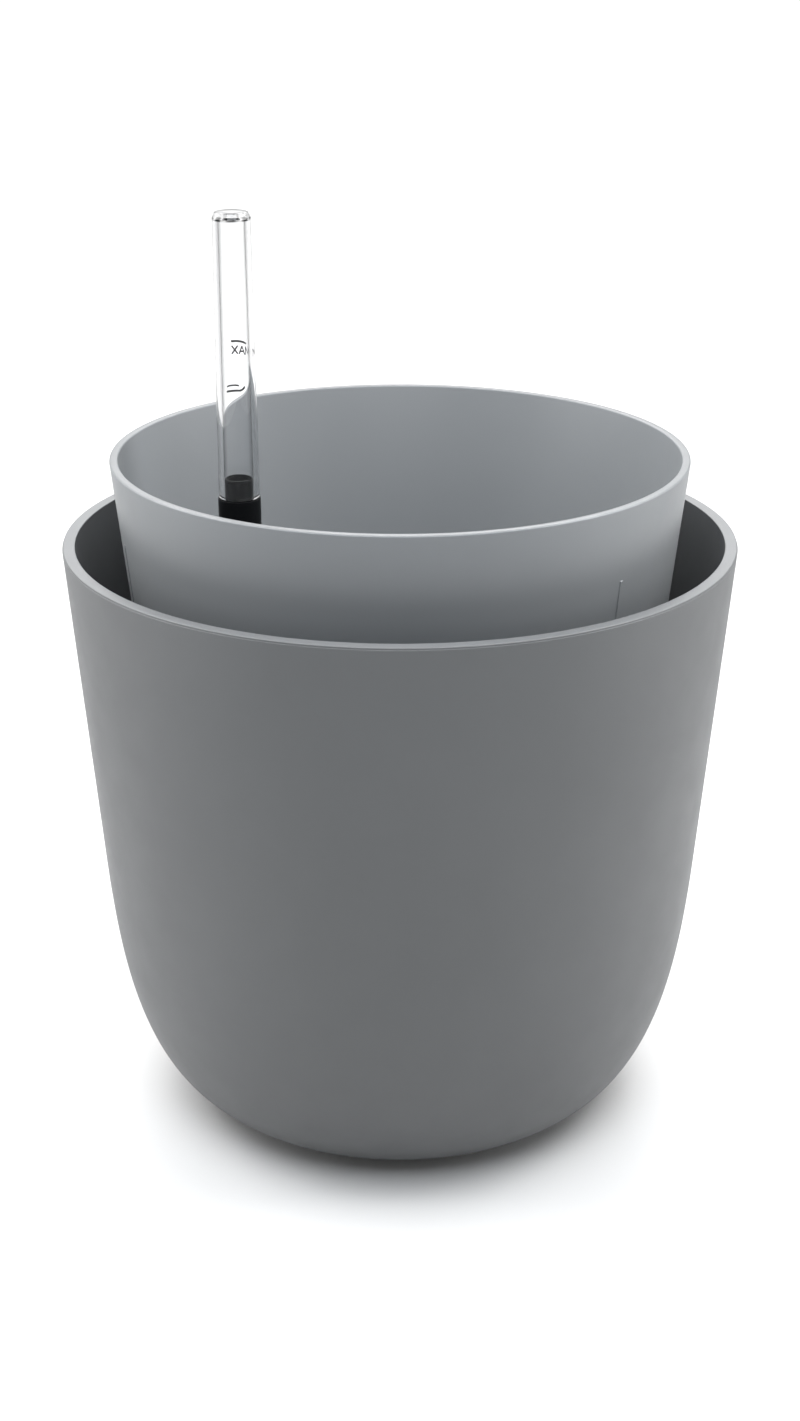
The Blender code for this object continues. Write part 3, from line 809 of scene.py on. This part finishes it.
@dataclass
class WickCup:
    """Slotted cup that is clipped in the inner pot's floor."""

    number: int
    neck: float = 16.0 * MM
    snap: float = 0.9 * MM
    lip_height: float = 1.8 * MM
    collar_width: float = 3.0 * MM
    collar_height: float = 2.4 * MM
    gap: float = 0.3 * MM
    taper: float = math.radians(2.6)
    wall: float = 1.6 * MM
    floor: float = 2.0 * MM
    slot_count: int = 8
    slot_width: float = 2.4 * MM
    slot_margin: float = 8.0 * MM
    hole_radius: float = 1.8 * MM
    hole_ring: float = 8.0 * MM
    hole_count: int = 6
    hole_facets: int = 16
    edge: float = 0.4 * MM
    facets: int = 96

    def __post_init__(self) -> None:
        """Read the cup's place from the frame."""
        low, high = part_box(f"wick_cup_{self.number}")
        floor_low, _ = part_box("inner_pot")
        self.centre: Point = ((low.x + high.x) / 2.0, (low.y + high.y) / 2.0)
        self.foot: float = low.z
        self.top: float = high.z
        self.collar_top: float = floor_low.z - self.gap

    def profile(self) -> list[Point]:
        """Outline from the centre of the underside, round the lip, to the inside floor."""
        collar_bottom = self.collar_top - self.collar_height
        collar = self.neck + self.collar_width
        foot = self.neck - (collar_bottom - self.foot) * math.tan(self.taper)
        lip_bottom = self.top - self.lip_height
        edge = self.edge
        points = [(0.0, self.foot), (foot - 2.0 * edge, self.foot), (foot, self.foot + 2.0 * edge)]
        points += [(self.neck, collar_bottom), (collar - edge, collar_bottom)]
        points += [(collar, collar_bottom + edge), (collar, self.collar_top - edge)]
        points += [(collar - edge, self.collar_top), (self.neck, self.collar_top)]
        points += [(self.neck, lip_bottom), (self.neck + self.snap, lip_bottom + edge)]
        points += [(self.neck, self.top), (self.neck - self.wall, self.top)]
        points.append((self.neck - self.wall, collar_bottom))
        points.append((foot - self.wall, self.foot + self.floor))
        points.append((0.0, self.foot + self.floor))
        return points

    def slots(self) -> bmesh.types.BMesh:
        """Slots through the side and holes through the floor."""
        bottom = self.foot + self.floor + self.slot_margin
        top = self.collar_top - self.collar_height - self.slot_margin
        below = self.foot - self.floor
        bm = bmesh.new()
        for index in range(self.slot_count):
            azimuth = 2.0 * math.pi * index / self.slot_count
            matrix = (
                Matrix.Rotation(azimuth, 4, "Z")
                @ Matrix.Translation((self.neck, 0.0, (bottom + top) / 2.0))
                @ Matrix.Diagonal((self.neck, self.slot_width, top - bottom, 1.0))
            )
            bmesh.ops.create_cube(bm, size=1.0, matrix=matrix)
        for index in range(self.hole_count):
            azimuth = math.pi / self.hole_count + 2.0 * math.pi * index / self.hole_count
            x, y = self.hole_ring * math.cos(azimuth), self.hole_ring * math.sin(azimuth)
            drill(bm, x, y, self.hole_radius, below, self.foot + 2.0 * self.floor, self.hole_facets)
        return bm

    def build(self) -> None:
        """Make the cup in its place and settle it."""
        bm = boolean(turn(self.profile(), even_azimuths(self.facets)), self.slots(), "DIFFERENCE")
        bmesh.ops.translate(bm, verts=bm.verts, vec=(*self.centre, 0.0))
        piece = add_piece(f"wick_cup_shell_{self.number}", bm, BLACK_FINISH, CUT_SHARP_DEG)
        settle(piece, Body.INSERT, Slot.BLACK, f"wick_cup_{self.number}")


@dataclass
class Gauge:
    """Black stem and clear sight tube of the water gauge."""

    stem_radius: float = 8.87 * MM
    stem_wall: float = 1.4 * MM
    shoulder: float = 2.6 * MM
    collar_radius: float = 13.0 * MM
    collar_height: float = 2.6 * MM
    collar_round: float = 0.9 * MM
    collar_bottom_above_floor: float = 8.3 * MM
    floor: float = 3.0 * MM
    spigot_radius: float = 5.9 * MM
    spigot_wall: float = 1.0 * MM
    spigot_height: float = 8.4 * MM
    lead_in: float = 0.55 * MM
    lead_in_slope: float = 1.5
    bead: float = 0.15 * MM
    bead_height: float = 0.9 * MM
    float_travel: float = 60.5 * MM
    stop_height: float = 2.0 * MM
    inlet_count: int = 4
    inlet_width: float = 2.4 * MM
    inlet_margin: float = 9.0 * MM
    tube_foot: float = 8.52 * MM
    tube_top: float = 7.84 * MM
    tube_wall: float = 2.45 * MM
    crown: float = 2.6 * MM
    edge_width: float = 1.05 * MM
    edge_height: float = 2.35 * MM
    edge_round: float = 0.6 * MM
    chamfer_width: float = 1.5 * MM
    chamfer_height: float = 0.75 * MM
    gap: float = 0.3 * MM
    edge: float = 0.3 * MM
    round_steps: int = 4
    bead_steps: int = 6
    facets: int = 128
    bore_slot: int = 1
    crown_slot: int = 2

    def __post_init__(self) -> None:
        """Read the gauge's place from the frame."""
        low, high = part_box("gauge_stem")
        self.centre: Point = ((low.x + high.x) / 2.0, (low.y + high.y) / 2.0)
        self.stem_foot: float = low.z
        self.spigot_top: float = high.z
        self.stem_top: float = high.z - self.spigot_height
        self.inner_floor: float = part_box("inner_pot")[0].z
        self.stop_bottom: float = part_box("gauge_float")[1].z + self.float_travel + self.gap
        tube_low, tube_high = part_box("sight_tube")
        self.tube_low: float = tube_low.z
        self.tube_high: float = tube_high.z

    def stem_profile(self) -> list[Point]:
        """Outline of the stem: foot, collar, shoulder, open spigot and bore."""
        edge = self.edge
        radius = self.stem_radius
        bore = radius - self.stem_wall
        spigot_bore = self.spigot_radius - self.spigot_wall
        collar_bottom = self.inner_floor + self.floor + self.collar_bottom_above_floor
        collar_top = collar_bottom + self.collar_height
        collar = self.collar_radius
        points = [(bore, self.stem_foot), (radius, self.stem_foot), (radius, collar_bottom)]
        points += [(collar - edge, collar_bottom), (collar, collar_bottom + edge)]
        soft = self.collar_round
        points += arc((collar - soft, collar_top - soft), soft, 0.0, UP, self.round_steps)
        points += [(radius, collar_top)]
        points += arc((radius - edge, self.stem_top - edge), edge, 0.0, UP, self.round_steps)
        points += [(self.spigot_radius, self.stem_top)]
        bead_middle = self.spigot_top - 2.0 * edge - self.bead_height / 2.0
        for across, along in arc((0.0, 0.0), 1.0, -UP, UP, self.bead_steps):
            height = bead_middle + self.bead_height / 2.0 * along
            points.append((self.spigot_radius + self.bead * across, height))
        mouth_centre = (self.spigot_radius - edge, self.spigot_top - edge)
        points += arc(mouth_centre, edge, 0.0, UP, self.round_steps)
        points += [(spigot_bore + self.lead_in, self.spigot_top)]
        points += [(spigot_bore, self.spigot_top - self.lead_in_slope * self.lead_in)]
        inner_shoulder = self.stem_top - self.shoulder
        stop_top = self.stop_bottom + self.stop_height
        points += [(spigot_bore, inner_shoulder), (bore, inner_shoulder)]
        points += [(bore, stop_top), (spigot_bore, stop_top)]
        points += [(spigot_bore, self.stop_bottom), (bore, self.stop_bottom)]
        return points

    def inlets(self) -> bmesh.types.BMesh:
        """Slots that let the water into the float chamber."""
        bottom = self.stem_foot + self.inlet_margin
        top = self.inner_floor - self.inlet_margin
        bm = bmesh.new()
        for index in range(self.inlet_count):
            azimuth = math.pi / self.inlet_count + 2.0 * math.pi * index / self.inlet_count
            matrix = (
                Matrix.Rotation(azimuth, 4, "Z")
                @ Matrix.Translation((self.stem_radius, 0.0, (bottom + top) / 2.0))
                @ Matrix.Diagonal((self.stem_radius, self.inlet_width, top - bottom, 1.0))
            )
            bmesh.ops.create_cube(bm, size=1.0, matrix=matrix)
        return bm

    def tube_profile(self) -> list[Point]:
        """Outline of the clear tube: drafted wall, closed crown, counterbored foot."""
        counterbore = self.spigot_radius + self.gap
        counterbore_top = self.spigot_top + self.gap
        bore_foot = self.tube_foot - self.tube_wall
        bore_top = self.tube_top - self.tube_wall
        crown = self.tube_high - self.crown
        points = [(counterbore, self.tube_low), (self.tube_foot - self.edge, self.tube_low)]
        points.append((self.tube_foot, self.tube_low + self.edge))
        tilt = math.atan(self.edge_width / self.edge_height)
        drop = self.edge_round * (1.0 - math.sin(tilt))
        centre = self.tube_top - self.edge_width + drop * math.tan(tilt)
        centre -= self.edge_round * math.cos(tilt)
        points.append((self.tube_top, self.tube_high - self.edge_height))
        top_edge = (centre, self.tube_high - self.edge_round)
        points += arc(top_edge, self.edge_round, tilt, UP, self.round_steps)
        points += [(0.0, self.tube_high), (0.0, crown)]
        points += [(bore_top - self.chamfer_width, crown), (bore_top, crown - self.chamfer_height)]
        points += [(bore_foot, counterbore_top), (counterbore, counterbore_top)]
        return points

    def mark_parts(self, bm: bmesh.types.BMesh) -> None:
        """Give the bore's wall and the crown their own material slots.

        Args:
            bm: Tube about the Z axis.
        """
        limit = self.tube_top - self.tube_wall / 2.0
        crown_foot = self.tube_high - self.crown - self.chamfer_height
        for face in bm.faces:
            centre = face.calc_center_median()
            if centre.z > crown_foot:
                face.material_index = self.crown_slot
            elif centre.z > self.spigot_top and math.hypot(centre.x, centre.y) < limit:
                face.material_index = self.bore_slot

    def at_centre(self, bm: bmesh.types.BMesh) -> bmesh.types.BMesh:
        """Move a turned shape to the gauge's axis."""
        bmesh.ops.translate(bm, verts=bm.verts, vec=(*self.centre, 0.0))
        return bm

    def build(self) -> None:
        """Make the stem and the tube and settle them."""
        columns = even_azimuths(self.facets)
        stem = boolean(turn(self.stem_profile(), columns), self.inlets(), "DIFFERENCE")
        piece = add_piece("gauge_stem_shell", self.at_centre(stem), BLACK_FINISH, CUT_SHARP_DEG)
        settle(piece, Body.GAUGE, Slot.BLACK, "gauge_stem")
        tube = turn(self.tube_profile(), columns)
        self.mark_parts(tube)
        piece = add_piece("sight_tube_clear", self.at_centre(tube), CLEAR_FINISH, TUBE_SHARP_DEG)
        for finish in (BORE_FINISH, CROWN_FINISH):
            piece.data.materials.append(finish.material())
        settle(piece, Body.GAUGE, Slot.CLEAR, "sight_tube")

    def tube_radius(self, height: float) -> float:
        """Outside radius of the clear tube at a height."""
        share = (height - self.tube_low) / (self.tube_high - self.edge_height - self.tube_low)
        return self.tube_foot + (self.tube_top - self.tube_foot) * share


@dataclass
class LevelMarks:
    """Printed marks on the side of the tube that faces away from the camera."""

    gauge: Gauge
    full_height: float = 332.9 * MM
    full_start_deg: float = -19.0
    full_bend_deg: float = 0.0
    full_end_deg: float = 46.0
    full_drop: float = 0.6 * MM
    low_height: float = 313.5 * MM
    low_band: float = 2.3 * MM
    low_start_deg: float = -42.0
    low_gap_deg: float = 6.0
    low_bend_deg: float = 6.0
    low_end_deg: float = 30.0
    line: float = 0.9 * MM
    stroke: float = 0.7 * MM
    ink: float = 0.03 * MM
    ink_clear: float = 0.006 * MM
    letter_height: float = 3.4 * MM
    letter_top_below_full: float = 1.9 * MM
    letter_steps: int = 4
    upper_sag: float = 0.15
    lower_curl: float = 0.85
    lower_lead_deg: float = 3.0
    step_deg: float = 2.0

    def wrap(self, turn_deg: float, height: float, lift: float) -> Vector:
        """Point on the tube.

        Args:
            turn_deg: Angle from the back towards +X, in degrees.
            height: Height in the frame.
            lift: Distance outside the tube.

        Returns:
            The point.
        """
        azimuth = UP - math.radians(turn_deg)
        radius = self.gauge.tube_radius(height) + lift
        x, y = self.gauge.centre
        return Vector((x + radius * math.cos(azimuth), y + radius * math.sin(azimuth), height))

    def ribbon(self, bm: bmesh.types.BMesh, path: Sequence[Point], width: float) -> None:
        """Add a thin printed line along a path.

        Args:
            bm: Bmesh that it is added to.
            path: Points of (turn in degrees, height).
            width: Width of the line.
        """
        radius = self.gauge.tube_top
        flat = [Vector((math.radians(turn_deg) * radius, height)) for turn_deg, height in path]
        rows = []
        for index, point in enumerate(flat):
            before = flat[max(index - 1, 0)]
            after = flat[min(index + 1, len(flat) - 1)]
            along = (after - before).normalized()
            side = Vector((-along.y, along.x)) * width / 2.0
            corners = []
            for lift in (self.ink_clear, self.ink):
                for edge in (point + side, point - side):
                    corner = self.wrap(math.degrees(edge.x / radius), edge.y, lift)
                    corners.append(bm.verts.new(corner))
            rows.append(corners)
        for first, second in zip(rows, rows[1:]):
            for a, b in ((0, 1), (1, 3), (3, 2), (2, 0)):
                bm.faces.new((first[a], first[b], second[b], second[a]))
        bm.faces.new([rows[0][index] for index in (0, 1, 3, 2)])
        bm.faces.new([rows[-1][index] for index in (2, 3, 1, 0)])

    def sweep(self, start: float, end: float, height: Callable[[float], float]) -> list[Point]:
        """Path between two angles.

        Args:
            start: First angle in degrees.
            end: Last angle in degrees.
            height: Height at an angle.

        Returns:
            Points of (turn in degrees, height).
        """
        steps = max(1, round(abs(end - start) / self.step_deg))
        angles = [start + (end - start) * index / steps for index in range(steps + 1)]
        return [(angle, height(angle)) for angle in angles]

    def full_mark(self, bm: bmesh.types.BMesh) -> None:
        """Line of the full mark, which falls away towards its far end."""
        bend = self.full_bend_deg
        reach = self.full_end_deg - bend

        def height(angle: float) -> float:
            """Height of the line at an angle."""
            return self.full_height - self.full_drop * (max(0.0, angle - bend) / reach) ** 2

        self.ribbon(bm, self.sweep(self.full_start_deg, self.full_end_deg, height), self.line)

    def low_mark(self, bm: bmesh.types.BMesh) -> None:
        """Flat loop of the low mark: a lower line that curls up, and a shorter upper line."""
        top = self.low_height + self.low_band / 2.0
        bottom = self.low_height - self.low_band / 2.0
        bend = self.low_bend_deg
        reach = self.low_end_deg - bend

        def upper(angle: float) -> float:
            """Height of the upper line at an angle."""
            middle = (self.low_start_deg + self.low_gap_deg) / 2.0
            share = (angle - middle) / (self.low_gap_deg - middle)
            return top - self.upper_sag * self.low_band * share**4

        def lower(angle: float) -> float:
            """Height of the lower line at an angle."""
            return bottom + self.lower_curl * self.low_band * (max(0.0, angle - bend) / reach) ** 2

        lower_start = self.low_start_deg - self.lower_lead_deg
        self.ribbon(bm, self.sweep(self.low_start_deg, self.low_gap_deg, upper), self.stroke)
        self.ribbon(bm, self.sweep(lower_start, self.low_end_deg, lower), self.line)

    def letters(self, bm: bmesh.types.BMesh) -> None:
        """The plain word MAX under the full mark, to be read from behind."""
        strokes = {
            "M": [((0, 0), (0, 1)), ((0, 1), (0.5, 0.25)), ((0.5, 0.25), (1, 1)), ((1, 1), (1, 0))],
            "A": [((0, 0), (0.5, 1)), ((0.5, 1), (1, 0)), ((0.22, 0.36), (0.78, 0.36))],
            "X": [((0, 0), (1, 1)), ((0, 1), (1, 0))],
        }
        spans = {"M": (74.0, 39.5), "A": (34.5, 10.5), "X": (5.5, -17.0)}
        base = self.full_height - self.letter_top_below_full - self.letter_height
        for letter, lines in strokes.items():
            left, right = spans[letter]
            for (x0, y0), (x1, y1) in lines:
                path = []
                for index in range(self.letter_steps + 1):
                    share = index / self.letter_steps
                    across = x0 + (x1 - x0) * share
                    rise = y0 + (y1 - y0) * share
                    path.append((left + (right - left) * across, base + self.letter_height * rise))
                self.ribbon(bm, path, self.stroke)

    def build(self) -> None:
        """Make the marks and settle them."""
        bm = bmesh.new()
        self.full_mark(bm)
        self.low_mark(bm)
        self.letters(bm)
        bmesh.ops.recalc_face_normals(bm, faces=bm.faces)
        settle(add_piece("level_marks", bm, INK_FINISH), Body.GAUGE, Slot.BLACK)


class InnerWorks:
    """Float, rod and end cap, which keep their CAD solids and get their finishes."""

    FINISHES = {
        "gauge_float": FOAM_FINISH,
        "indicator_rod": ROD_FINISH,
        "stem_end_cap": BLACK_FINISH,
    }

    def build(self) -> None:
        """Dress the CAD nodes."""
        for node, finish in self.FINISHES.items():
            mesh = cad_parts[node].data
            mesh.materials.clear()
            mesh.materials.append(finish.material())
            LOG.info("%s keeps its solid, in %s", node, finish.name)


@dataclass(frozen=True)
class Panel:
    """Soft patch of light in the studio's surroundings."""

    azimuth_deg: float
    elevation_deg: float
    strength: float
    spread_deg: float = 55.0

    def direction(self) -> Vector:
        """Unit vector from the pot to the middle of the patch."""
        azimuth = math.radians(self.azimuth_deg)
        elevation = math.radians(self.elevation_deg)
        flat = math.cos(elevation)
        return Vector((flat * math.cos(azimuth), flat * math.sin(azimuth), math.sin(elevation)))


COOL_WHITE = (0.96, 1.0, 1.045)


@dataclass(frozen=True)
class Softbox:
    """Square softbox and the point that it faces."""

    x: float
    y: float
    z: float
    side: float
    radiance: float
    colour: Colour = (1.0, 1.0, 1.0)
    aim_y: float = 0.0
    aim_z: float = 0.25
    glossy: bool = True

    def build(self, number: int) -> None:
        """Hang the light.

        Args:
            number: Number in its name.
        """
        data = bpy.data.lights.new(f"softbox_{number}", "AREA")
        data.shape = "SQUARE"
        data.size = self.side
        data.color = self.colour
        data.energy = self.radiance * math.pi * self.side**2
        lamp = bpy.data.objects.new(f"softbox_{number}", data)
        lamp.location = (self.x, self.y, self.z)
        toward = Vector((0.0, self.aim_y, self.aim_z)) - lamp.location
        lamp.rotation_euler = toward.to_track_quat("-Z", "Y").to_euler()
        lamp.visible_camera = False
        lamp.visible_transmission = False
        lamp.visible_glossy = self.glossy
        bpy.context.scene.collection.objects.link(lamp)


@dataclass
class Studio:
    """White seamless studio with soft light from above and both sides."""

    distance: float = 843.7 * MM
    height: float = 514.0 * MM
    pitch: float = math.radians(22.171)
    focal_px: float = 2100.0
    image_height_px: float = 1421.0
    centre_row_px: float = 716.84
    sensor: float = 36.0
    sight: float = 200.0
    floor_half: float = 30.0
    background: float = 1.0
    ceiling: float = 0.01
    horizon_fade: Point = (0.4, 0.65)
    panels: tuple[Panel, ...] = (
        Panel(0.0, 8.0, 4.15, 30.0),
        Panel(135.0, 8.0, 0.78, 30.0),
        Panel(180.0, 8.0, 3.95, 30.0),
        Panel(150.0, 38.0, 3.5, 32.0),
        Panel(270.0, 4.0, 3.1, 22.0),
        Panel(90.0, 8.0, 0.7, 65.0),
        Panel(94.0, 9.0, 1.1, 8.0),
    )
    boxes: tuple[Softbox, ...] = (
        Softbox(-0.45, 0.0, 0.7, 0.5, 5.2),
        Softbox(0.45, 0.0, 0.7, 0.5, 7.8),
        Softbox(0.0, -0.4, 0.75, 0.5, 5.4, colour=COOL_WHITE),
        Softbox(0.0, 0.0, 1.2, 0.6, 3.1),
        Softbox(-0.6, 0.0, 0.3, 0.5, 0.42),
        Softbox(0.6, 0.0, 0.3, 0.5, 0.46),
        Softbox(0.0, 1.6, 1.4, 1.4, 4.7, aim_y=1.6, aim_z=0.0),
        Softbox(0.0, 4.5, 3.0, 4.0, 3.2, aim_y=4.5, aim_z=0.0),
        Softbox(0.0, 9.0, 4.0, 6.0, 2.6, aim_y=9.0, aim_z=0.0, glossy=False),
    )

    def camera(self) -> None:
        """Camera at the photo's place and angle."""
        data = bpy.data.cameras.new("camera")
        data.sensor_width = self.sensor
        data.lens = self.focal_px / self.image_height_px * self.sensor
        data.shift_y = (self.centre_row_px - self.image_height_px / 2.0) / self.image_height_px
        data.clip_end = self.sight
        obj = bpy.data.objects.new("camera", data)
        bpy.context.scene.collection.objects.link(obj)
        obj.location = (0.0, -self.distance, self.height)
        obj.rotation_euler = (UP - self.pitch, 0.0, 0.0)
        bpy.context.scene.camera = obj

    def floor(self) -> None:
        """Wide pale floor."""
        mesh = bpy.data.meshes.new("studio_floor")
        bm = bmesh.new()
        bmesh.ops.create_grid(bm, x_segments=1, y_segments=1, size=self.floor_half)
        bm.to_mesh(mesh)
        bm.free()
        mesh.materials.append(FLOOR_FINISH.material())
        floor = bpy.data.objects.new("studio_floor", mesh)
        bpy.context.scene.collection.objects.link(floor)

    def light(self) -> None:
        """World light: the sum of the soft patches, and plain white behind the pot."""
        world = bpy.data.worlds.new("studio")
        bpy.context.scene.world = world
        world.use_nodes = True
        nodes, links = world.node_tree.nodes, world.node_tree.links
        nodes.clear()
        coordinates = nodes.new("ShaderNodeTexCoord")
        total = None
        for panel in self.panels:
            aim = nodes.new("ShaderNodeVectorMath")
            aim.operation = "DOT_PRODUCT"
            links.new(coordinates.outputs["Generated"], aim.inputs[0])
            aim.inputs[1].default_value = panel.direction()
            patch = nodes.new("ShaderNodeMapRange")
            patch.interpolation_type = "SMOOTHSTEP"
            patch.inputs["From Min"].default_value = math.cos(math.radians(panel.spread_deg))
            patch.inputs["From Max"].default_value = 1.0
            patch.inputs["To Max"].default_value = panel.strength
            links.new(aim.outputs["Value"], patch.inputs["Value"])
            if total is None:
                total = patch.outputs["Result"]
                continue
            join = nodes.new("ShaderNodeMath")
            links.new(patch.outputs["Result"], join.inputs[0])
            links.new(total, join.inputs[1])
            total = join.outputs[0]
        glow = nodes.new("ShaderNodeBackground")
        links.new(total, glow.inputs["Strength"])
        axes = nodes.new("ShaderNodeSeparateXYZ")
        links.new(coordinates.outputs["Generated"], axes.inputs[0])
        fade = nodes.new("ShaderNodeMapRange")
        fade.interpolation_type = "SMOOTHSTEP"
        fade.inputs["From Min"].default_value = self.horizon_fade[0]
        fade.inputs["From Max"].default_value = self.horizon_fade[1]
        fade.inputs["To Min"].default_value = self.background
        fade.inputs["To Max"].default_value = self.ceiling
        links.new(axes.outputs["Z"], fade.inputs["Value"])
        room = nodes.new("ShaderNodeBackground")
        links.new(fade.outputs["Result"], room.inputs["Strength"])
        plain = nodes.new("ShaderNodeBackground")
        plain.inputs["Strength"].default_value = self.background
        path = nodes.new("ShaderNodeLightPath")
        through = nodes.new("ShaderNodeMixShader")
        links.new(path.outputs["Is Transmission Ray"], through.inputs[0])
        links.new(glow.outputs[0], through.inputs[1])
        links.new(room.outputs[0], through.inputs[2])
        choose = nodes.new("ShaderNodeMixShader")
        links.new(path.outputs["Is Camera Ray"], choose.inputs[0])
        links.new(through.outputs[0], choose.inputs[1])
        links.new(plain.outputs[0], choose.inputs[2])
        output = nodes.new("ShaderNodeOutputWorld")
        links.new(choose.outputs[0], output.inputs["Surface"])

    def build(self) -> None:
        """Make the floor, the light and the camera."""
        bpy.context.scene.view_settings.view_transform = "Standard"
        self.floor()
        self.light()
        for number, box in enumerate(self.boxes, start=1):
            box.build(number)
        self.camera()


def main() -> None:
    """Build each sub-assembly in order."""
    logging.basicConfig(level=logging.INFO, format="%(message)s")
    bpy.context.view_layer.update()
    OuterPot().build()
    InnerPot().build()
    for number in (1, 2, 3):
        WickCup(number).build()
    gauge = Gauge()
    gauge.build()
    LevelMarks(gauge).build()
    InnerWorks().build()
    Studio().build()


if __name__ == "__main__":
    main()
